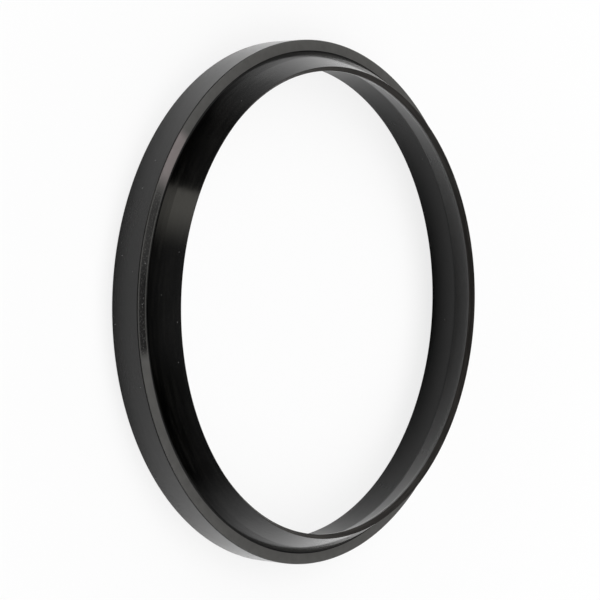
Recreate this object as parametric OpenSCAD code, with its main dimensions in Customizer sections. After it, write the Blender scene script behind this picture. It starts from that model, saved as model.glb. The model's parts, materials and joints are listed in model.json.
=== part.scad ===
// Snap-in rod wiper seal, moulded in one piece of black rubber.
// The ring lies on its flat heel face. Its axis is Z, and the wiping lip points up.

/* [Rod and groove] */
// Diameter of the rod that the lip wipes
rod_d = 70; // [30:1:160]
// Radial depth of the section, from the rod to the floor of the groove
section_w = 4.3; // [3.9:0.1:6]
// Height of the body between the walls of the groove
body_h = 5; // [3.5:0.1:9]

/* [Bore] */
// Radial gap between the rod and the plain bore
bore_gap = 0.85; // [0.5:0.05:1.2]
// Depth of the bore's throat below the front face
throat_depth = 0.3; // [0:0.1:1]

/* [Wiping lip] */
// Height of the lip above the front face
lip_h = 4.2; // [3:0.1:7]
// Radial width of the front face, from the floor of the groove to the lip's outer cone
shoulder_w = 1.8; // [1.7:0.05:2.4]
// Radial amount by which the free lip is smaller than the rod
lip_pinch = 0.5; // [0.2:0.05:0.7]
// Radial width of the bevelled tip, from the wiping land to the rim
tip_w = 0.57; // [0.4:0.01:0.8]
// Height of the bevelled tip
tip_h = 0.8; // [0.5:0.05:1.2]
// Height of the wiping land, the narrow ring that touches the rod
land_h = 0.25; // [0.1:0.05:0.5]

/* [Edges] */
// Radius of the fillet between the front face and the lip
root_r = 0.3; // [0.2:0.05:1]
// Radius of the fillet in the bore's throat
throat_r = 1.5; // [0.2:0.1:2.5]
// Radius of the body's two outer edges
body_edge_r = 0.25; // [0.1:0.05:0.6]
// Radius of the heel's inner edge
heel_edge_r = 0.3; // [0.1:0.05:0.6]
// Radius of the rim's edge
rim_edge_r = 0.06; // [0.02:0.01:0.2]

/* [Hidden] */
$fn = 180;
rod_r = rod_d / 2;
body_r = rod_r + section_w;
bore_r = rod_r + bore_gap;
throat_z = body_h - throat_depth;
lip_root_r = body_r - shoulder_w;
land_r = rod_r - lip_pinch;
rim_z = body_h + lip_h;
land_top_z = rim_z - tip_h;
// Overlap that lets the rounding discs cross the straight sides cleanly
overlap = 0.0002;

// Corners of the half section, anticlockwise: distance from the axis, height, radius of the rounding
CORNERS = [
    [bore_r, 0, heel_edge_r],
    [body_r, 0, body_edge_r],
    [body_r, body_h, body_edge_r],
    [lip_root_r, body_h, root_r],
    [land_r + tip_w, rim_z, rim_edge_r],
    [land_r, land_top_z, 0],
    [land_r, land_top_z - land_h, 0],
    [bore_r, throat_z, throat_r],
];

function unit(v) = v / norm(v);
function wrapped(i) = (i + len(CORNERS)) % len(CORNERS);
function point(i) = [CORNERS[wrapped(i)].x, CORNERS[wrapped(i)].y];
function rounding(i) = CORNERS[wrapped(i)].z;
function is_hollow(i) = cross(point(i) - point(i - 1), point(i + 1) - point(i)) < 0;

// Directions from a corner to its two neighbours, and half the angle between them
function to_last(i) = unit(point(i - 1) - point(i));
function to_next(i) = unit(point(i + 1) - point(i));
function half_angle(i) = acos(to_last(i) * to_next(i)) / 2;

// Centre of the arc that touches both sides of a corner, and how far from the corner it touches them
function arc_centre(i) = point(i) + unit(to_last(i) + to_next(i)) * rounding(i) / sin(half_angle(i));
function arc_reach(i) = rounding(i) / tan(half_angle(i));

// A rounded corner goes by way of its arc's centre, so that a disc there can finish it
function corner_points(i) = rounding(i) == 0 ? [point(i)] : [
    point(i) + to_last(i) * arc_reach(i),
    arc_centre(i),
    point(i) + to_next(i) * arc_reach(i),
];

// Discs of the rounded corners, either those of the hollows or those of the edges
module corner_discs(hollow) {
    for (i = [0 : len(CORNERS) - 1])
        if (rounding(i) > 0 && is_hollow(i) == hollow)
            translate(arc_centre(i)) circle(r = rounding(i) + overlap);
}

// Half section of the ring, with its edges rounded and its hollows filleted
module section() {
    difference() {
        union() {
            polygon([for (i = [0 : len(CORNERS) - 1]) each corner_points(i)]);
            corner_discs(hollow = false);
        }
        corner_discs(hollow = true);
    }
}

module wiper_seal() {
    color([0.07, 0.07, 0.07]) rotate_extrude() section();
}

wiper_seal();
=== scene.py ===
"""A rod wiper seal, one ring of black rubber, lying on a pale studio floor.

Lengths are in metres, in the frame of the solid model: the ring's axis is Z, the ring lies on its heel face
at Z = 0, and the wiping lip points up. Angles round the ring, called turns, go from +X towards +Y.
"""
import json
import logging
import math
from dataclasses import dataclass, replace
from enum import Enum, IntEnum
from typing import Optional, Union

import bpy
import numpy as np
from mathutils import Matrix


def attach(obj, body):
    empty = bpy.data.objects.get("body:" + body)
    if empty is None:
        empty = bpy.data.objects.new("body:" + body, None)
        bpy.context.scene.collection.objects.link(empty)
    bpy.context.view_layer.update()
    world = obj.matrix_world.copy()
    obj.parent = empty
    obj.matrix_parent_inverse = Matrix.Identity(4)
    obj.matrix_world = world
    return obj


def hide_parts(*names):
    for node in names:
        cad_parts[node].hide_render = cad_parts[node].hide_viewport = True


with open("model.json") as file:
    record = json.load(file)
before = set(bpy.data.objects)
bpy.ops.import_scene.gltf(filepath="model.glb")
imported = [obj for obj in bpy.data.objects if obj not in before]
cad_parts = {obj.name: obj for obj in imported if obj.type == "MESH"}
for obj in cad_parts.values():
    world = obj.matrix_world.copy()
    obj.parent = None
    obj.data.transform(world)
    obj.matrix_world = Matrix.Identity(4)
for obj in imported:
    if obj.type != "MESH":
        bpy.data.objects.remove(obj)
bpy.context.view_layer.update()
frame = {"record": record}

MILLIMETRE = 0.001
NODE = "wiper_seal"
BODY = "root"

log = logging.getLogger(NODE)

Socket = bpy.types.NodeSocket
Colour = tuple[float, float, float]
Span = tuple[float, float]
Triple = tuple[float, float, float]
Feed = Union[Socket, float, tuple]


class Zone(IntEnum):
    """Parts of the ring's surface that have a finish of their own, in the order of the material slots.

    From the front face up, the lip's outer cone is split into its foot, its flank and the rest.
    """

    BODY = 0
    FRONT = 1
    CREASE = 2
    LIP_FOOT = 3
    LIP_FLANK = 4
    LIP = 5
    TIP = 6
    LAND = 7
    LIP_INSIDE = 8
    BORE = 9


class Operation(Enum):
    """Sums that a Math node works out."""

    ADD = "ADD"
    SUBTRACT = "SUBTRACT"
    TIMES = "MULTIPLY"
    GREATER = "MAXIMUM"
    ABOVE = "GREATER_THAN"
    TURN = "ARCTAN2"
    SLOPE = "ARCSINE"


class Gauge(Enum):
    """What a Vector Math node measures."""

    LENGTH = "LENGTH"
    DISTANCE = "DISTANCE"
    PART_ALONG = "DOT_PRODUCT"


class NodeSheet:
    """A node tree, with short ways to add nodes to it.

    Attributes:
        tree: the node tree.
    """

    FEW_LAYERS = 2.0
    MANY_LAYERS = 4.0

    def __init__(self, tree: bpy.types.NodeTree) -> None:
        """Keep the tree and clear what it starts with."""
        self.tree = tree
        tree.nodes.clear()

    def add(self, kind: str, **settings: object) -> bpy.types.Node:
        """Add a node.

        Args:
            kind: Blender's name for the type of node, without its Shader prefix.
            settings: properties of the node and their values.

        Returns:
            The new node.
        """
        node = self.tree.nodes.new(f"ShaderNode{kind}")
        for name, value in settings.items():
            setattr(node, name, value)
        return node

    def feed(self, socket: Socket, value: Feed) -> None:
        """Link a socket to another one, or set it to a plain value.

        Args:
            socket: input socket to fill.
            value: output socket, number or colour.
        """
        if isinstance(value, Socket):
            self.tree.links.new(value, socket)
        else:
            socket.default_value = value

    def sum(self, operation: Operation, first: Feed, second: Feed = 0.0) -> Socket:
        """Work out one sum.

        Args:
            operation: the sum.
            first: its first value.
            second: its second value, where it has one.

        Returns:
            The result.
        """
        node = self.add("Math", operation=operation.value)
        self.feed(node.inputs[0], first)
        self.feed(node.inputs[1], second)
        return node.outputs[0]

    def degrees(self, angle: Socket) -> Socket:
        """Turn an angle from radians into degrees."""
        return self.sum(Operation.TIMES, angle, math.degrees(1))

    def gauge(self, kind: Gauge, first: Feed, second: Feed = (0.0, 0.0, 0.0)) -> Socket:
        """Measure a vector, or one vector against another.

        Args:
            kind: what is measured.
            first: the vector.
            second: the other vector, where there is one.

        Returns:
            The measure.
        """
        node = self.add("VectorMath", operation=kind.value)
        self.feed(node.inputs[0], first)
        self.feed(node.inputs[1], second)
        return node.outputs["Value"]

    def split(self, vector: Socket) -> tuple[Socket, Socket, Socket]:
        """Take a vector apart into its X, Y and Z.

        Args:
            vector: the vector.

        Returns:
            Its X, Y and Z.
        """
        node = self.add("SeparateXYZ")
        self.feed(node.inputs[0], vector)
        return tuple(node.outputs)

    def join(self, x: Feed, y: Feed, z: Feed = 0.0) -> Socket:
        """Put a vector together.

        Args:
            x: its X.
            y: its Y.
            z: its Z.

        Returns:
            The vector.
        """
        node = self.add("CombineXYZ")
        for socket, value in zip(node.inputs, (x, y, z)):
            self.feed(socket, value)
        return node.outputs[0]

    def rise(self, value: Feed, low: float, high: float) -> Socket:
        """Turn a value into a share that rises smoothly from 0 at low to 1 at high.

        Args:
            value: the value.
            low: value at which the share is 0.
            high: value at which the share is 1.

        Returns:
            The share.
        """
        node = self.add("MapRange", interpolation_type="SMOOTHSTEP")
        self.feed(node.inputs["Value"], value)
        node.inputs["From Min"].default_value = low
        node.inputs["From Max"].default_value = high
        return node.outputs["Result"]

    def window(self, value: Feed, limits: Span, soft: Span) -> Socket:
        """Give a share that is 1 between two limits and 0 outside them.

        Args:
            value: the value.
            limits: lower and upper limit.
            soft: half the width of the smooth step at each of them.

        Returns:
            The share.
        """
        (low, high), (low_soft, high_soft) = limits, soft
        opens = self.rise(value, low - low_soft, low + low_soft)
        closes = self.rise(value, high - high_soft, high + high_soft)
        return self.sum(Operation.SUBTRACT, opens, closes)

    def spread(self, share: Feed, low: float, high: float) -> Socket:
        """Turn a share from 0 to 1 into a value between low and high.

        Args:
            share: the share.
            low: value at 0.
            high: value at 1.

        Returns:
            The value.
        """
        node = self.add("MapRange")
        self.feed(node.inputs["Value"], share)
        node.inputs["To Min"].default_value = low
        node.inputs["To Max"].default_value = high
        return node.outputs["Result"]

    def noise(self, place: Feed, size: float, detail: float) -> Socket:
        """Give soft random patches.

        Args:
            place: where the noise is read, in metres.
            size: size of a patch, in metres.
            detail: number of finer layers of noise on it.

        Returns:
            A share from 0 to 1, mostly near 0.5.
        """
        node = self.add("TexNoise")
        self.feed(node.inputs["Vector"], place)
        node.inputs["Scale"].default_value = 1 / size
        node.inputs["Detail"].default_value = detail
        return node.outputs["Fac"]

    def mix(self, share: Feed, first: Feed, second: Feed) -> Socket:
        """Mix two colours.

        Args:
            share: share of the second colour.
            first: colour at 0.
            second: colour at 1.

        Returns:
            The mixed colour.
        """
        node = self.add("MixRGB")
        self.feed(node.inputs["Fac"], share)
        for socket, colour in zip((node.inputs["Color1"], node.inputs["Color2"]), (first, second)):
            self.feed(socket, (*colour, 1.0) if isinstance(colour, tuple) else colour)
        return node.outputs["Color"]

    def blend(self, share: Feed, first: Socket, second: Socket) -> Socket:
        """Mix two shaders.

        Args:
            share: share of the second shader.
            first: shader at 0.
            second: shader at 1.

        Returns:
            The mixed shader.
        """
        node = self.add("MixShader")
        for socket, value in zip(node.inputs, (share, first, second)):
            self.feed(socket, value)
        return node.outputs[0]


@dataclass(frozen=True)
class DustSpeck:
    """A grain of pale dust on the ring.

    Attributes:
        turn: angle round the ring, in degrees.
        radius: distance from the axis.
        height: height above the floor.
        size: radius of the grain.
    """

    turn: float
    radius: float
    height: float
    size: float

    def place(self) -> Triple:
        """Give the grain's place as X, Y and Z."""
        angle = math.radians(self.turn)
        return self.radius * math.cos(angle), self.radius * math.sin(angle), self.height


def speck(turn: float, radius: float, height: float, size: float) -> DustSpeck:
    """Make a speck from an angle in degrees and lengths in millimetres."""
    return DustSpeck(turn, radius * MILLIMETRE, height * MILLIMETRE, size * MILLIMETRE)


DUST = (
    speck(turn=-112.6, radius=39.3, height=2.4, size=0.16),
    speck(turn=-119.0, radius=39.3, height=2.9, size=0.11),
    speck(turn=-98.3, radius=39.3, height=1.4, size=0.12),
    speck(turn=-95.1, radius=39.3, height=3.7, size=0.09),
    speck(turn=-84.4, radius=39.3, height=0.7, size=0.12),
    speck(turn=-71.6, radius=39.3, height=4.1, size=0.09),
    speck(turn=-97.0, radius=38.3, height=5.0, size=0.1),
    speck(turn=-88.6, radius=38.4, height=5.0, size=0.1),
    speck(turn=-148.6, radius=36.25, height=6.9, size=0.11),
    speck(turn=-139.6, radius=36.33, height=6.8, size=0.09),
    speck(turn=-100.3, radius=35.48, height=8.4, size=0.11),
    speck(turn=-84.7, radius=35.34, height=8.7, size=0.11),
    speck(turn=-75.7, radius=35.51, height=8.4, size=0.1),
    speck(turn=-59.0, radius=36.42, height=6.6, size=0.1),
    speck(turn=-29.7, radius=36.21, height=7.0, size=0.1),
    speck(turn=86.4, radius=35.85, height=2.8, size=0.1),
    speck(turn=25.3, radius=35.85, height=0.5, size=0.1),
)


@dataclass(frozen=True)
class Stretch:
    """A stretch of the ring's turn, in degrees.

    Attributes:
        ends: where it starts and stops.
        soft: half the length of its soft start and stop.
        share: how much of what it stands for it has.
    """

    ends: Span
    soft: Span
    share: float

    def cover(self, sheet: NodeSheet, turn: Socket) -> Socket:
        """Give its share at a turn, 0 outside the stretch."""
        return sheet.sum(Operation.TIMES, sheet.window(turn, self.ends, self.soft), self.share)


@dataclass(frozen=True)
class BloomAndPaintedReflection:
    """The dry, pale film that rubber sweats out, a little uneven, with a stretch where it is thicker and
    pinkish, a painted warm reflection, and stretches where it is taken off, a painted dark reflection.

    Attributes:
        colour: colour of the film.
        warm_reflection_colour: colour of the film in the painted warm reflection, where it is thickest.
        roughness: roughness of the film.
        cover: mean share of the surface that it covers.
        warm_reflection_stretch: stretch of the painted warm reflection, where the film is thickest, with the
            share that it covers there as well.
        dark_reflection_stretches: stretches of painted dark reflection, where the film is taken off, with the
            share that is gone.
        dark_reflection_band: inner and outer radius of those stretches.
        soft_side: half the width of their soft sides.
        patch_size: size of the film's patches.
        crumb_size: size of the crumbs of film that stay in the painted dark stretches.

    UNEVEN is how far the cover goes up and down, as a share of it. CRUMB_LEVELS are the noise levels at which
    a crumb starts and is full, and CRUMB_SHARE is the share of the film that a crumb keeps.
    """

    colour: Colour
    warm_reflection_colour: Colour
    roughness: float
    cover: float
    warm_reflection_stretch: Stretch
    dark_reflection_stretches: tuple[Stretch, ...]
    dark_reflection_band: Span
    soft_side: float
    patch_size: float
    crumb_size: float

    UNEVEN = 0.2
    CRUMB_LEVELS = (0.54, 0.68)
    CRUMB_SHARE = 0.55

    def film_and_painted_reflection(self, sheet: NodeSheet, place: Socket) -> tuple[Socket, Socket]:
        """Lay the film: uneven cover, with the painted warm reflection added and the painted dark stretches
        taken out.

        Args:
            sheet: the material's nodes.
            place: Object coordinates.

        Returns:
            The share of the surface that the film and its painted reflections cover, and their colour.
        """
        x, y, _ = sheet.split(place)
        turn = sheet.degrees(sheet.sum(Operation.TURN, y, x))
        patches = sheet.noise(place, self.patch_size, NodeSheet.MANY_LAYERS)
        cover = sheet.spread(patches, (1 - self.UNEVEN) * self.cover, (1 + self.UNEVEN) * self.cover)
        # painted warm reflection: more film in the warm stretch
        film_and_painted_reflection = sheet.sum(Operation.ADD, cover, self.warm_reflection_stretch.cover(sheet, turn))
        # painted dark reflection: the film is taken off in these stretches, save for crumbs
        painted_dark_share = self.dark_reflection_stretches[0].cover(sheet, turn)
        for stretch in self.dark_reflection_stretches[1:]:
            painted_dark_share = sheet.sum(Operation.ADD, painted_dark_share, stretch.cover(sheet, turn))
        radius = sheet.gauge(Gauge.LENGTH, sheet.join(x, y))
        painted_dark_band = sheet.window(radius, self.dark_reflection_band, (self.soft_side, self.soft_side))
        crumbs = sheet.rise(sheet.noise(place, self.crumb_size, NodeSheet.FEW_LAYERS), *self.CRUMB_LEVELS)
        painted_dark_band = sheet.sum(Operation.TIMES, painted_dark_band, sheet.spread(crumbs, 1.0, 1 - self.CRUMB_SHARE))
        painted_dark_share = sheet.sum(Operation.TIMES, painted_dark_share, painted_dark_band)
        share = sheet.sum(Operation.TIMES, film_and_painted_reflection, sheet.sum(Operation.SUBTRACT, 1.0, painted_dark_share))
        # painted warm reflection: the pinkish colour in the same stretch
        warm_reflection_share = sheet.window(turn, self.warm_reflection_stretch.ends, self.warm_reflection_stretch.soft)
        return share, sheet.mix(warm_reflection_share, self.colour, self.warm_reflection_colour)


@dataclass(frozen=True)
class RubberFinish:
    """How the rubber looks in one zone.

    Attributes:
        name: name of the finish.
        deep: colour of the darker streaks.
        pale: colour of the paler streaks.
        roughness: mean roughness.
        patchiness: how far the roughness goes up and down from its mean.
        grain_size: size of the surface's grain.
        grain_depth: depth of the grain.
        ring_depth: depth of the fine lines that run round the ring.
        gloss: strength of the mirrored light, where 0.5 is plain rubber.
        skin: weight of the glossy skin that the mould leaves on the rubber.
        painted_rim_light: how much paler the rubber is painted from the front face up to the rim, a painted
            light.
        sheen: weight of the haze that fine dust gives at a grazing angle.
        sheen_roughness: how far the haze reaches from a grazing angle.
        dust: share of the random dust grains that show.
        bloom_and_painted_reflection: film on the rubber, with its painted reflections, where there is one.

    STREAK_LEVELS are the noise levels of the darker and the paler streaks. DUST_EDGE holds the distances from
    a random grain's middle at which it ends and at which it is full, as shares of the grains' spacing.
    RIM_LIGHT_HEIGHTS are the heights at which the painted rim light starts and is full.
    """

    name: str
    deep: Colour
    pale: Colour
    roughness: float
    patchiness: float
    grain_size: float
    grain_depth: float
    ring_depth: float
    gloss: float
    skin: float
    painted_rim_light: float
    sheen: float
    sheen_roughness: float
    dust: float
    bloom_and_painted_reflection: Optional[BloomAndPaintedReflection] = None

    STREAK_LENGTH = 6.0 * MILLIMETRE
    STREAK_WIDTH_MM = 0.4
    STREAK_LEVELS = (0.4, 0.72)
    DUST_SPACING = 1.3 * MILLIMETRE
    DUST_EDGE = (0.07, 0.03)
    DUST_COLOUR = (0.16, 0.16, 0.16)
    DUST_ROUGHNESS = 0.8
    RIM_LIGHT_COLOUR = (1.0, 1.0, 1.0)
    RIM_LIGHT_HEIGHTS = (5.5 * MILLIMETRE, 9.5 * MILLIMETRE)
    REFRACTION = 1.5

    def material(self) -> bpy.types.Material:
        """Make the finish as a Blender material.

        The colour and the roughness follow soft streaks, the bump is a fine grain with thin lines round the
        ring, and grains of dust are laid over both.

        Returns:
            The material.
        """
        made = bpy.data.materials.new(f"rubber_{self.name}")
        made.use_nodes = True
        sheet = NodeSheet(made.node_tree)
        place = sheet.add("TexCoord").outputs["Object"]
        streaks = self.streaks(sheet, place)
        dust = self.dust_mask(sheet, place)
        shader = sheet.add("BsdfPrincipled")
        shader.inputs["IOR"].default_value = self.REFRACTION
        shader.inputs["Specular IOR Level"].default_value = self.gloss
        shader.inputs["Coat Weight"].default_value = self.skin
        shader.inputs["Coat Roughness"].default_value = self.roughness
        shader.inputs["Sheen Weight"].default_value = self.sheen
        shader.inputs["Sheen Roughness"].default_value = self.sheen_roughness
        rubber = sheet.mix(streaks, self.deep, self.pale)
        # painted light: the rubber is painted paler towards the rim
        rubber = sheet.mix(self.painted_rim_light_share(sheet, place), rubber, self.RIM_LIGHT_COLOUR)
        satin = sheet.spread(streaks, self.roughness - self.patchiness, self.roughness + self.patchiness)
        dulled = sheet.sum(Operation.TIMES, dust, self.DUST_ROUGHNESS)
        # film on the front face, with its painted warm and dark reflections
        if self.bloom_and_painted_reflection is not None:
            film_and_painted_reflection, film_and_reflection_colour = self.bloom_and_painted_reflection.film_and_painted_reflection(sheet, place)
            rubber = sheet.mix(film_and_painted_reflection, rubber, film_and_reflection_colour)
            dry = sheet.sum(Operation.TIMES, film_and_painted_reflection, self.bloom_and_painted_reflection.roughness)
            dulled = sheet.sum(Operation.GREATER, dulled, dry)
        sheet.feed(shader.inputs["Base Color"], sheet.mix(dust, rubber, self.DUST_COLOUR))
        sheet.feed(shader.inputs["Roughness"], sheet.sum(Operation.GREATER, satin, dulled))
        bump = self.grain(sheet, place)
        sheet.feed(shader.inputs["Normal"], bump)
        sheet.feed(shader.inputs["Coat Normal"], bump)
        output = sheet.add("OutputMaterial")
        sheet.feed(output.inputs["Surface"], shader.outputs["BSDF"])
        return made

    def streaks(self, sheet: NodeSheet, place: Socket) -> Socket:
        """Give soft streaks that run round the ring, as the mould and handling leave them.

        Noise is read at X and Y in streak lengths, and at the length along the section in streak widths.

        Args:
            sheet: the material's nodes.
            place: Object coordinates.

        Returns:
            A share that is 0 in the darker streaks and 1 in the paler ones.
        """
        x, y, _ = sheet.split(place)
        stretched = sheet.join(
            sheet.sum(Operation.TIMES, x, 1 / self.STREAK_LENGTH),
            sheet.sum(Operation.TIMES, y, 1 / self.STREAK_LENGTH),
            sheet.sum(Operation.TIMES, self.section_length(sheet), 1 / self.STREAK_WIDTH_MM),
        )
        noise = sheet.noise(stretched, size=1.0, detail=NodeSheet.MANY_LAYERS)
        return sheet.rise(noise, *self.STREAK_LEVELS)

    @staticmethod
    def section_length(sheet: NodeSheet) -> Socket:
        """Read the length along the ring's section, in millimetres."""
        return sheet.add("Attribute", attribute_name=WiperSeal.SECTION_ATTRIBUTE).outputs["Fac"]

    def painted_rim_light_share(self, sheet: NodeSheet, place: Socket) -> Socket:
        """Give the share of painted rim light, rubber painted paler from the front face up to the rim.

        Args:
            sheet: the material's nodes.
            place: Object coordinates.

        Returns:
            The share.
        """
        _, _, height = sheet.split(place)
        climb = sheet.rise(height, *self.RIM_LIGHT_HEIGHTS)
        return sheet.sum(Operation.TIMES, climb, self.painted_rim_light)

    def grain(self, sheet: NodeSheet, place: Socket) -> Socket:
        """Add the grain and the lines round the ring as bump.

        Args:
            sheet: the material's nodes.
            place: Object coordinates.

        Returns:
            The bumped normal.
        """
        lines = sheet.add("TexNoise", noise_dimensions="1D")
        sheet.feed(lines.inputs["W"], self.section_length(sheet))
        lines.inputs["Scale"].default_value = WiperSeal.LINE_DENSITY
        line_bump = sheet.add("Bump")
        line_bump.inputs["Distance"].default_value = self.ring_depth
        sheet.feed(line_bump.inputs["Height"], lines.outputs["Fac"])
        grain_bump = sheet.add("Bump")
        grain_bump.inputs["Distance"].default_value = self.grain_depth
        sheet.feed(grain_bump.inputs["Height"], sheet.noise(place, self.grain_size, NodeSheet.FEW_LAYERS))
        sheet.feed(grain_bump.inputs["Normal"], line_bump.outputs["Normal"])
        return grain_bump.outputs["Normal"]

    def dust_mask(self, sheet: NodeSheet, place: Socket) -> Socket:
        """Lay the dust: the grains that have a place of their own, and random ones.

        Args:
            sheet: the material's nodes.
            place: Object coordinates.

        Returns:
            A share that is 1 on a grain and 0 between the grains.
        """
        cells = sheet.add("TexVoronoi")
        sheet.feed(cells.inputs["Vector"], place)
        cells.inputs["Scale"].default_value = 1 / self.DUST_SPACING
        near = sheet.rise(cells.outputs["Distance"], *self.DUST_EDGE)
        kept = sheet.sum(Operation.ABOVE, cells.outputs["Color"], 1 - self.dust)
        mask = sheet.sum(Operation.TIMES, near, kept)
        for grain in DUST:
            gap = sheet.gauge(Gauge.DISTANCE, place, grain.place())
            here = sheet.rise(gap, grain.size, grain.size / 2)
            mask = sheet.sum(Operation.GREATER, mask, here)
        return mask


LIP_RUBBER = RubberFinish(
    name="moulded_lip",
    deep=(0.0003, 0.0003, 0.0003),
    pale=(0.006, 0.0058, 0.0052),
    roughness=0.12,
    patchiness=0.04,
    grain_size=0.14 * MILLIMETRE,
    grain_depth=0.0008 * MILLIMETRE,
    ring_depth=0.001 * MILLIMETRE,
    gloss=0.5,
    skin=0.6,
    # painted light: paler towards the rim
    painted_rim_light=0.0075,
    sheen=0.9,
    sheen_roughness=0.25,
    dust=0.2,
)

INSIDE_RUBBER = RubberFinish(
    name="moulded_bore",
    deep=(0.0012, 0.0012, 0.0012),
    pale=(0.0034, 0.0034, 0.0034),
    roughness=0.15,
    patchiness=0.05,
    grain_size=0.14 * MILLIMETRE,
    grain_depth=0.0008 * MILLIMETRE,
    ring_depth=0.001 * MILLIMETRE,
    gloss=0.43,
    skin=0.0,
    painted_rim_light=0.0,
    sheen=0.82,
    sheen_roughness=0.33,
    dust=0.2,
)

FINISHES = {
    Zone.BODY: RubberFinish(
        name="moulded_body",
        deep=(0.003, 0.003, 0.003),
        pale=(0.006, 0.006, 0.006),
        roughness=0.17,
        patchiness=0.05,
        grain_size=0.14 * MILLIMETRE,
        grain_depth=0.0008 * MILLIMETRE,
        ring_depth=0.001 * MILLIMETRE,
        gloss=0.42,
        skin=0.0,
        painted_rim_light=0.0,
        sheen=1.0,
        sheen_roughness=0.34,
        dust=0.25,
    ),
    Zone.FRONT: RubberFinish(
        name="front_face",
        deep=(0.003, 0.003, 0.003),
        pale=(0.006, 0.0055, 0.005),
        roughness=0.11,
        patchiness=0.03,
        grain_size=0.16 * MILLIMETRE,
        grain_depth=0.001 * MILLIMETRE,
        ring_depth=0.001 * MILLIMETRE,
        gloss=0.12,
        skin=0.0,
        painted_rim_light=0.0,
        sheen=0.2,
        sheen_roughness=0.3,
        dust=0.4,
        bloom_and_painted_reflection=BloomAndPaintedReflection(
            colour=(0.118, 0.116, 0.111),
            warm_reflection_colour=(0.205, 0.182, 0.18),
            roughness=0.7,
            cover=0.74,
            # painted warm reflection: paler and pinkish in this stretch
            warm_reflection_stretch=Stretch(ends=(-126.5, -114.5), soft=(1.5, 3.0), share=0.26),
            # painted dark reflection: the film is taken off in these stretches
            dark_reflection_stretches=(
                Stretch(ends=(-112.5, -96.0), soft=(4.0, 3.0), share=0.83),
                Stretch(ends=(-96.0, -78.3), soft=(3.0, 1.5), share=1.0),
            ),
            dark_reflection_band=(37.8 * MILLIMETRE, 39.1 * MILLIMETRE),
            soft_side=0.2 * MILLIMETRE,
            patch_size=1.2 * MILLIMETRE,
            crumb_size=0.25 * MILLIMETRE,
        ),
    ),
    Zone.CREASE: replace(LIP_RUBBER, name="root_crease", roughness=0.4, gloss=0.1, skin=0.0, sheen=0.0),
    Zone.LIP_FOOT: replace(LIP_RUBBER, name="lip_foot", roughness=0.15, gloss=0.45, skin=0.15, sheen=0.0),
    Zone.LIP_FLANK: replace(LIP_RUBBER, name="lip_flank", roughness=0.18, skin=0.25, sheen=0.1),
    Zone.LIP: LIP_RUBBER,
    Zone.TIP: RubberFinish(
        name="trimmed_tip",
        deep=(0.0245, 0.0226, 0.0208),
        pale=(0.0463, 0.0425, 0.0391),
        roughness=0.55,
        patchiness=0.1,
        grain_size=0.12 * MILLIMETRE,
        grain_depth=0.006 * MILLIMETRE,
        ring_depth=0.008 * MILLIMETRE,
        gloss=0.12,
        skin=0.0,
        painted_rim_light=0.0,
        sheen=0.0,
        sheen_roughness=0.3,
        dust=0.1,
    ),
    Zone.LAND: replace(INSIDE_RUBBER, name="rubbed_land", gloss=0.5, skin=0.45, sheen=1.0),
    Zone.LIP_INSIDE: replace(INSIDE_RUBBER, name="lip_inside", gloss=0.5, skin=0.35, sheen=0.72),
    Zone.BORE: INSIDE_RUBBER,
}


def mount(name: str) -> dict:
    """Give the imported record's mount of that name."""
    return next(row for row in frame["record"]["mounts"] if row["name"] == name)


def unit(vectors: np.ndarray) -> np.ndarray:
    """Scale vectors, the last axis of an array, to length 1."""
    return vectors / np.linalg.norm(vectors, axis=-1, keepdims=True)


class Corner(IntEnum):
    """Corners of the half section, anticlockwise. The side of a corner runs on to the next one."""

    HEEL_INSIDE = 0
    HEEL_OUTSIDE = 1
    FRONT_EDGE = 2
    ROOT = 3
    RIM = 4
    LAND_TOP = 5
    LAND_FOOT = 6
    THROAT = 7


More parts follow.
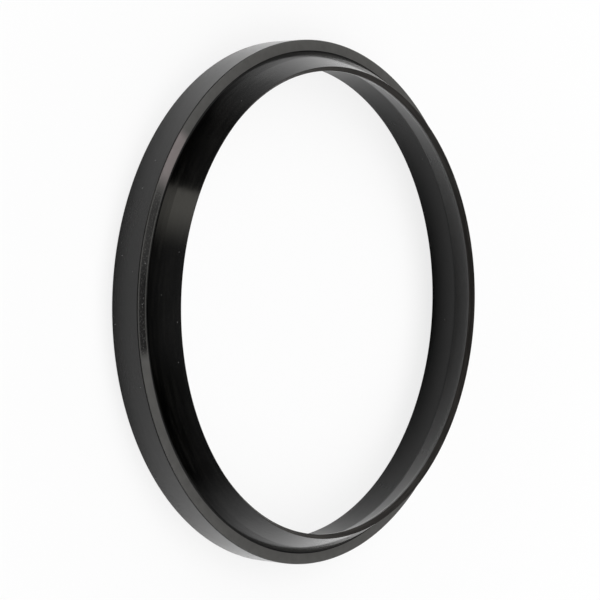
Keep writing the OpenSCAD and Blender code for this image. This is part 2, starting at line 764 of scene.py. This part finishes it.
@dataclass(frozen=True)
class SealSection:
    """The ring's half section, a polygon with rounded corners.

    The radii of the body, the bore and the land, and the heights of the front face and the land, come from
    the solid model's mounts. The other sizes are those of its source.

    Attributes:
        shoulder_width: radial width of the front face, up to the lip's outer cone.
        lip_height: height of the lip above the front face.
        tip_width: radial width of the bevelled tip, from the land to the rim.
        throat_depth: depth of the bore's throat below the front face.
        heel_edge: radius of the heel's inner edge.
        body_edge: radius of the body's two outer edges.
        root_fillet: radius of the fillet between the front face and the lip.
        rim_edge: radius of the rim's edge.
        land_edge: radius of the land's two edges.
        throat_fillet: radius of the fillet in the bore's throat.
        arc_steps: steps along each rounded corner.
        side_points: points along each side, between its corners.

    ARC_ZONES and SIDE_ZONES give the zone of each corner's arc and side, in the order of the corners.
    ARC_STARTS and SIDE_STARTS give the zones of the first steps of those that start in another zone.
    """

    shoulder_width: float = 1.8 * MILLIMETRE
    lip_height: float = 4.2 * MILLIMETRE
    tip_width: float = 0.57 * MILLIMETRE
    throat_depth: float = 0.3 * MILLIMETRE
    heel_edge: float = 0.3 * MILLIMETRE
    body_edge: float = 0.25 * MILLIMETRE
    root_fillet: float = 0.3 * MILLIMETRE
    rim_edge: float = 0.06 * MILLIMETRE
    land_edge: float = 0.04 * MILLIMETRE
    throat_fillet: float = 1.5 * MILLIMETRE
    arc_steps: int = 8
    side_points: int = 7

    ARC_ZONES = (
        Zone.BODY, Zone.BODY, Zone.FRONT, Zone.CREASE, Zone.TIP, Zone.TIP, Zone.LAND, Zone.BORE,
    )
    SIDE_ZONES = (
        Zone.BODY, Zone.BODY, Zone.FRONT, Zone.LIP, Zone.TIP, Zone.LAND, Zone.LIP_INSIDE, Zone.BORE,
    )
    ARC_STARTS = {
        Corner.FRONT_EDGE: (Zone.BODY, Zone.BODY, Zone.BODY, Zone.BODY),
        Corner.THROAT: (Zone.LIP_INSIDE, Zone.LIP_INSIDE),
    }
    SIDE_STARTS = {
        Corner.ROOT: (Zone.LIP_FOOT, Zone.LIP_FOOT, Zone.LIP_FLANK),
        Corner.LAND_FOOT: (Zone.LAND, Zone.LAND),
    }

    def corners(self) -> np.ndarray:
        """Give the corners in their order.

        Returns:
            One row for each corner: distance from the axis, height, radius of the rounding.
        """
        body_radius = mount("groove_seat")["dims"]["r_mm"] * MILLIMETRE
        bore_radius = mount("body_bore")["dims"]["r_mm"] * MILLIMETRE
        land = mount("lip_bore")
        land_radius = land["dims"]["r_mm"] * MILLIMETRE
        land_middle = land["pos_m"][2]
        half_land = land["dims"]["length_mm"] * MILLIMETRE / 2
        front = mount("front_face")["pos_m"][2]
        return np.array([
            (bore_radius, 0.0, self.heel_edge),
            (body_radius, 0.0, self.body_edge),
            (body_radius, front, self.body_edge),
            (body_radius - self.shoulder_width, front, self.root_fillet),
            (land_radius + self.tip_width, front + self.lip_height, self.rim_edge),
            (land_radius, land_middle + half_land, self.land_edge),
            (land_radius, land_middle - half_land, self.land_edge),
            (bore_radius, front - self.throat_depth, self.throat_fillet),
        ])

    def outline(self) -> tuple[np.ndarray, np.ndarray]:
        """Trace the section: an arc at each corner, then points along the side to the next corner.

        An arc touches both sides of its corner. Its centre lies on the corner's bisector, at radius / sin of
        half the corner's angle, and it is swept evenly from the one side to the other. Points along a side
        gather at its ends by a half cosine.

        Returns:
            The points and their outward normals, as radius and height.
        """
        rows = self.corners()
        corner, rounding = rows[:, :2], rows[:, 2:]
        to_last = unit(np.roll(corner, 1, axis=0) - corner)
        to_next = unit(np.roll(corner, -1, axis=0) - corner)
        half_angle = np.arccos(np.sum(to_last * to_next, axis=1, keepdims=True)) / 2
        centre = corner + unit(to_last + to_next) * rounding / np.sin(half_angle)
        start = corner + to_last * rounding / np.tan(half_angle) - centre
        stop = corner + to_next * rounding / np.tan(half_angle) - centre
        first_angle = np.arctan2(start[:, 1], start[:, 0])
        sweep = np.arctan2(stop[:, 1], stop[:, 0]) - first_angle
        sweep = (sweep + np.pi) % (2 * np.pi) - np.pi
        angle = first_angle[:, None] + sweep[:, None] * np.linspace(0, 1, self.arc_steps + 1)
        ray = np.stack([np.cos(angle), np.sin(angle)], axis=-1)
        arcs = centre[:, None] + rounding[:, None] * ray
        arc_normals = ray * np.sign(sweep)[:, None, None]
        share = (1 - np.cos(np.pi * np.arange(1, self.side_points + 1) / (self.side_points + 1))) / 2
        ends = np.roll(arcs[:, 0], -1, axis=0)
        sides = arcs[:, -1:] + (ends - arcs[:, -1])[:, None] * share[:, None]
        side_normals = np.stack([to_next[:, 1], -to_next[:, 0]], axis=-1)[:, None] + np.zeros_like(sides)
        points = np.concatenate([arcs, sides], axis=1).reshape(-1, 2)
        normals = np.concatenate([arc_normals, side_normals], axis=1).reshape(-1, 2)
        return points, normals

    def zones(self) -> np.ndarray:
        """Sort the outline's stretches into zones.

        Returns:
            The zone of the stretch that follows each point of the outline.
        """
        arcs = np.repeat(np.array(self.ARC_ZONES)[:, None], self.arc_steps, axis=1)
        sides = np.repeat(np.array(self.SIDE_ZONES)[:, None], self.side_points + 1, axis=1)
        for rows, starts in ((arcs, self.ARC_STARTS), (sides, self.SIDE_STARTS)):
            for corner, first in starts.items():
                rows[corner, :len(first)] = first
        return np.concatenate([arcs, sides], axis=1).ravel()


@dataclass
class WiperSeal:
    """The ring: its section carried once round the axis.

    Attributes:
        section: the half section.
        turn_steps: steps round the ring.

    SECTION_ATTRIBUTE names the length along the section, and LINE_DENSITY is about how many fine lines there
    are to a millimetre of it.
    """

    section: SealSection
    turn_steps: int = 720

    SECTION_ATTRIBUTE = "section_mm"
    LINE_DENSITY = 9.0

    def build(self) -> bpy.types.Object:
        """Make the ring's mesh as a grid that is closed both ways.

        A point of the section at (radius, height) goes to (radius cos turn, radius sin turn, height), and
        its normal goes the same way.

        Returns:
            The ring.
        """
        points, normals = self.section.outline()
        zones = np.tile(self.section.zones(), self.turn_steps)
        turn = np.arange(self.turn_steps) * 2 * np.pi / self.turn_steps
        rows = len(points)
        ring = carried_round(points, turn)
        count = self.turn_steps * rows
        index = np.arange(count).reshape(self.turn_steps, rows)
        ahead = np.roll(index, -1, axis=0)
        above = np.roll(index, -1, axis=1)
        corner = np.roll(ahead, -1, axis=1)
        quads = np.stack([index, ahead, corner, above], axis=-1).reshape(-1, 4)
        mesh = bpy.data.meshes.new(NODE)
        mesh.from_pydata(ring.reshape(-1, 3), [], quads)
        mesh.polygons.foreach_set("material_index", zones.astype(np.int32))
        mesh.polygons.foreach_set("use_smooth", np.ones(len(quads), dtype=bool))
        mesh.normals_split_custom_set_from_vertices(carried_round(normals, turn).reshape(-1, 3))
        self.measure(mesh, points)
        piece = bpy.data.objects.new("rubber_ring", mesh)
        bpy.context.scene.collection.objects.link(piece)
        return piece

    def measure(self, mesh: bpy.types.Mesh, points: np.ndarray) -> None:
        """Give the mesh its UV map and the length along its section.

        U is the share of the turn, V the share of the section's length. The length is also kept in
        millimetres as an attribute.

        Args:
            mesh: the ring's mesh.
            points: points of the section.
        """
        rows = len(points)
        step = np.linalg.norm(np.roll(points, -1, axis=0) - points, axis=1)
        along = np.concatenate([[0.0], np.cumsum(step)])
        length = mesh.attributes.new(self.SECTION_ATTRIBUTE, "FLOAT", "POINT")
        length.data.foreach_set("value", np.tile(along[:-1] / MILLIMETRE, self.turn_steps))
        v = along / along[-1]
        u = np.arange(self.turn_steps + 1) / self.turn_steps
        low_u, high_u = np.repeat(u[:-1], rows), np.repeat(u[1:], rows)
        low_v, high_v = np.tile(v[:-1], self.turn_steps), np.tile(v[1:], self.turn_steps)
        loops = np.stack([low_u, low_v, high_u, low_v, high_u, high_v, low_u, high_v], axis=-1)
        mesh.uv_layers.new(name="UVMap").data.foreach_set("uv", loops.ravel())

    def dress(self, piece: bpy.types.Object) -> None:
        """Give the ring its finishes, and its place in the frame.

        Args:
            piece: the ring.
        """
        for zone in Zone:
            piece.data.materials.append(FINISHES[zone].material())
        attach(piece, BODY)
        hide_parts(NODE)


def carried_round(section: np.ndarray, turn: np.ndarray) -> np.ndarray:
    """Carry section points or normals round the axis: (radius cos turn, radius sin turn, height).

    Args:
        section: rows of radius and height.
        turn: angles round the axis, in radians.

    Returns:
        X, Y and Z, for each turn and each row.
    """
    flat = np.zeros((len(turn), len(section)))
    radius, height = section[:, 0] + flat, section[:, 1] + flat
    return np.stack([radius * np.cos(turn)[:, None], radius * np.sin(turn)[:, None], height], axis=-1)


@dataclass(frozen=True)
class SkyView:
    """Where a ray that leaves the scene goes.

    Attributes:
        direction: its direction, of length 1.
        azimuth: degrees from +Y towards +X.
        elevation: degrees above the floor.
    """

    direction: Socket
    azimuth: Socket
    elevation: Socket


@dataclass(frozen=True)
class LightPanel:
    """A soft panel of light far round the ring.

    Attributes:
        azimuth: limits, in degrees from +Y towards +X.
        side_soft: half the width of the soft edge at each of them, in degrees.
        elevation: limits, in degrees above the floor.
        rise_soft: half the width of the soft edge at each of them, in degrees.
        colour: colour of the light.
        strength: brightness, where 1 is white.
    """

    azimuth: Span
    side_soft: Span
    elevation: Span
    rise_soft: Span
    colour: Colour
    strength: float

    def mask(self, sheet: NodeSheet, sky: SkyView) -> Socket:
        """Give the share that is 1 on the panel and 0 round it.

        Args:
            sheet: the world's nodes.
            sky: where the ray goes.

        Returns:
            The share.
        """
        across = sheet.window(sky.azimuth, self.azimuth, self.side_soft)
        upright = sheet.window(sky.elevation, self.elevation, self.rise_soft)
        return sheet.sum(Operation.TIMES, across, upright)


@dataclass(frozen=True)
class StripLight:
    """A long soft light far above the ring, lengthways along X.

    Attributes:
        lean: how far its middle leans from straight up towards +Y, in degrees.
        half_length: angle from its middle to its ends, in degrees.
        half_width: angle from its middle to its long edges, in degrees.
        soft: half the width of its soft edges, in degrees.
        colour: colour of the light.
        strength: brightness, where 1 is white.
    """

    lean: float
    half_length: float
    half_width: float
    soft: float
    colour: Colour
    strength: float

    def mask(self, sheet: NodeSheet, sky: SkyView) -> Socket:
        """Give the share that is 1 on the light and 0 round it.

        A direction is measured by its sines along X and across the strip, and by whether it goes up.

        Args:
            sheet: the world's nodes.
            sky: where the ray goes.

        Returns:
            The share.
        """
        lean, blur = math.radians(self.lean), math.sin(math.radians(self.soft))
        long_sine = math.sin(math.radians(self.half_length))
        wide_sine = math.sin(math.radians(self.half_width))
        along = sheet.gauge(Gauge.PART_ALONG, sky.direction, (1.0, 0.0, 0.0))
        across = sheet.gauge(Gauge.PART_ALONG, sky.direction, (0.0, math.cos(lean), -math.sin(lean)))
        up = sheet.gauge(Gauge.PART_ALONG, sky.direction, (0.0, math.sin(lean), math.cos(lean)))
        lengthways = sheet.window(along, (-long_sine, long_sine), (blur, blur))
        sideways = sheet.window(across, (-wide_sine, wide_sine), (blur, blur))
        box = sheet.sum(Operation.TIMES, lengthways, sideways)
        return sheet.sum(Operation.TIMES, box, sheet.rise(up, 0.0, blur))


WHITE = (1.0, 1.0, 1.0)
WARM = (1.0, 0.97, 0.88)
ROOM_LIGHT = 0.01
BACKDROP = LightPanel(
    azimuth=(-50.0, 62.0),
    side_soft=(56.0, 46.0),
    elevation=(-7.0, 9.0),
    rise_soft=(5.0, 4.0),
    colour=WHITE,
    strength=1.0,
)
KEY_LIGHT = StripLight(lean=15.0, half_length=62.0, half_width=21.0, soft=3.0, colour=WHITE, strength=2.4)
CARD = LightPanel(
    azimuth=(-151.0, -134.2),
    side_soft=(10.0, 0.8),
    elevation=(-5.0, 30.0),
    rise_soft=(0.8, 0.8),
    colour=WARM,
    strength=0.86,
)
FILL_EAST = LightPanel(
    azimuth=(152.0, 200.0),
    side_soft=(12.0, 12.0),
    elevation=(0.0, 40.0),
    rise_soft=(5.0, 5.0),
    colour=WHITE,
    strength=0.065,
)
FILL_WEST = replace(FILL_EAST, azimuth=(-200.0, -152.0))
LIGHTS = (BACKDROP, KEY_LIGHT, CARD, FILL_EAST, FILL_WEST)


@dataclass
class Studio:
    """The floor and the light.

    Attributes:
        floor_reach: distance from the ring's axis to the floor's edges.
        floor_drop: gap that keeps the floor clear of the ring's heel.
        floor_colour: colour of the floor.
        seen_white: share of plain white in the floor that the camera sees near the ring.
        fade: distances from the axis between which that share grows to 1 and the floor thins out.
        mirrored_white: share of plain white in the floor that is mirrored.
    """

    floor_reach: float = 0.15
    floor_drop: float = 0.01 * MILLIMETRE
    floor_colour: Colour = (0.95, 0.95, 0.95)
    seen_white: float = 0.8
    fade: Span = (0.045, 0.145)
    mirrored_white: float = 0.03

    CORNER_ORDER = (0, 1, 3, 2)

    def build(self) -> bpy.types.Object:
        """Make the floor as a flat square grid of one face, with a pale matt finish.

        A share of plain white keeps the ground white, and the rest keeps the ring's shadow. Towards its edges
        the ground fades to plain white for the camera, and to nothing for other rays.

        Returns:
            The floor.
        """
        reach = np.array([-self.floor_reach, self.floor_reach])
        x, y = np.meshgrid(reach, reach)
        corners = np.stack([x.ravel(), y.ravel(), np.full(x.size, -self.floor_drop)], axis=-1)
        mesh = bpy.data.meshes.new("floor")
        mesh.from_pydata(corners, [], [self.CORNER_ORDER])
        matt = bpy.data.materials.new("pale_floor")
        matt.use_nodes = True
        sheet = NodeSheet(matt.node_tree)
        shader = sheet.add("BsdfDiffuse")
        shader.inputs["Color"].default_value = (*self.floor_colour, 1.0)
        path = sheet.add("LightPath")
        away = sheet.gauge(Gauge.LENGTH, sheet.add("TexCoord").outputs["Object"])
        faded = sheet.rise(away, *self.fade)
        white = sheet.spread(faded, self.seen_white, 1.0)
        seen = sheet.sum(Operation.TIMES, path.outputs["Is Camera Ray"], white)
        mirrored = sheet.sum(Operation.TIMES, self.bounced(sheet, path), self.mirrored_white)
        thinned = sheet.blend(faded, shader.outputs["BSDF"], sheet.add("BsdfTransparent").outputs[0])
        plain = sheet.sum(Operation.GREATER, seen, mirrored)
        ground = sheet.blend(plain, thinned, sheet.add("Emission").outputs[0])
        sheet.feed(sheet.add("OutputMaterial").inputs["Surface"], ground)
        mesh.materials.append(matt)
        floor = bpy.data.objects.new("floor", mesh)
        bpy.context.scene.collection.objects.link(floor)
        return floor

    def light(self) -> bpy.types.World:
        """Make the dome of light: a dim room with soft lights, and a white background.

        The camera sees white. Mirrored and refracted rays see white where the backdrop stands.

        Returns:
            The world.
        """
        world = bpy.data.worlds.new("studio")
        world.use_nodes = True
        bpy.context.scene.world = world
        sheet = NodeSheet(world.node_tree)
        sky = self.sky_view(sheet)
        dome = self.background(sheet, WHITE, ROOM_LIGHT)
        for lamp in LIGHTS:
            lit = sheet.add("AddShader")
            strength = sheet.sum(Operation.TIMES, lamp.mask(sheet, sky), lamp.strength)
            sheet.feed(lit.inputs[0], dome)
            sheet.feed(lit.inputs[1], self.background(sheet, lamp.colour, strength))
            dome = lit.outputs[0]
        path = sheet.add("LightPath")
        mirrored = sheet.sum(Operation.TIMES, self.bounced(sheet, path), BACKDROP.mask(sheet, sky))
        plain = sheet.sum(Operation.GREATER, path.outputs["Is Camera Ray"], mirrored)
        backed = sheet.blend(plain, dome, self.background(sheet, WHITE, 1.0))
        sheet.feed(sheet.add("OutputWorld").inputs["Surface"], backed)
        return world

    @staticmethod
    def sky_view(sheet: NodeSheet) -> SkyView:
        """Read where a ray goes.

        Args:
            sheet: the world's nodes.

        Returns:
            Its direction, azimuth and elevation.
        """
        direction = sheet.add("TexCoord").outputs["Generated"]
        x, y, z = sheet.split(direction)
        azimuth = sheet.degrees(sheet.sum(Operation.TURN, x, y))
        elevation = sheet.degrees(sheet.sum(Operation.SLOPE, z))
        return SkyView(direction, azimuth, elevation)

    @staticmethod
    def bounced(sheet: NodeSheet, path: bpy.types.Node) -> Socket:
        """Tell mirrored and refracted rays, by 1, from all others."""
        mirrored, refracted = path.outputs["Is Glossy Ray"], path.outputs["Is Transmission Ray"]
        return sheet.sum(Operation.GREATER, mirrored, refracted)

    @staticmethod
    def background(sheet: NodeSheet, colour: Colour, strength: Feed) -> Socket:
        """Add a background of one colour.

        Args:
            sheet: the world's nodes.
            colour: its colour.
            strength: its brightness.

        Returns:
            The background's light.
        """
        node = sheet.add("Background")
        node.inputs["Color"].default_value = (*colour, 1.0)
        sheet.feed(node.inputs["Strength"], strength)
        return node.outputs[0]


@dataclass(frozen=True)
class PhotoCamera:
    """The camera, at the photograph's viewing angle.

    It looks down on the ring, turned on its side, so that the ring stands upright in the picture with its
    axis to the right.

    Attributes:
        tilt: angle between the ring's axis and the line of sight, in degrees.
        roll: slope of the axis in the picture, in degrees.
        picture_px: width and height of the picture, in pixels.
        focal_px: focal length, in pixels.
        centre_px: where the middle of the front face appears, in pixels from the top left corner.
        metres_per_px: size of a pixel there.
        sensor_mm: width of the sensor.
        near: distance at which the camera starts to see.
        far: distance at which it stops.
    """

    tilt: float = 50.66
    roll: float = 1.7
    picture_px: float = 600.0
    focal_px: float = 2200.0
    centre_px: tuple[float, float] = (318.4, 302.4)
    metres_per_px: float = 0.1503 * MILLIMETRE
    sensor_mm: float = 36.0
    near: float = 0.01
    far: float = 200.0

    def build(self) -> bpy.types.Object:
        """Place the camera.

        Without its roll the camera looks along (0, sin tilt, -cos tilt), with (0, cos tilt, sin tilt) to the
        right of the picture and +X down it. The roll turns those two about the line of sight. From the middle
        of the front face the camera stands back by the focal length, and aside by what brings that point to
        its pixel.

        Returns:
            The camera.
        """
        tilt, roll = math.radians(self.tilt), math.radians(self.roll)
        ahead = np.array([0.0, math.sin(tilt), -math.cos(tilt)])
        level_right = np.array([0.0, math.cos(tilt), math.sin(tilt)])
        level_down = np.array([1.0, 0.0, 0.0])
        right = math.cos(roll) * level_right - math.sin(roll) * level_down
        down = math.cos(roll) * level_down + math.sin(roll) * level_right
        target = np.array([0.0, 0.0, mount("front_face")["pos_m"][2]])
        aside = np.array(self.centre_px) - self.picture_px / 2
        shift = aside[0] * right + aside[1] * down + self.focal_px * ahead
        eye = target - shift * self.metres_per_px
        lens = bpy.data.cameras.new("photo_camera")
        lens.sensor_width = self.sensor_mm
        lens.lens = self.focal_px * self.sensor_mm / self.picture_px
        lens.clip_start = self.near
        lens.clip_end = self.far
        camera = bpy.data.objects.new("photo_camera", lens)
        axes = np.stack([right, -down, -ahead], axis=-1)
        camera.matrix_world = Matrix.Translation(eye) @ Matrix(axes).to_4x4()
        bpy.context.scene.collection.objects.link(camera)
        bpy.context.scene.camera = camera
        return camera


def main() -> None:
    """Make the camera, the studio and the ring, in that order."""
    logging.basicConfig(level=logging.INFO, format="%(name)s: %(message)s")
    bpy.context.scene.view_settings.view_transform = "Standard"
    camera = PhotoCamera().build()
    log.info("camera %s", camera.name)
    studio = Studio()
    log.info("floor %s, light %s", studio.build().name, studio.light().name)
    seal = WiperSeal(SealSection())
    ring = seal.build()
    seal.dress(ring)
    log.info("piece %s, %d faces", ring.name, len(ring.data.polygons))


if __name__ == "__main__":
    main()
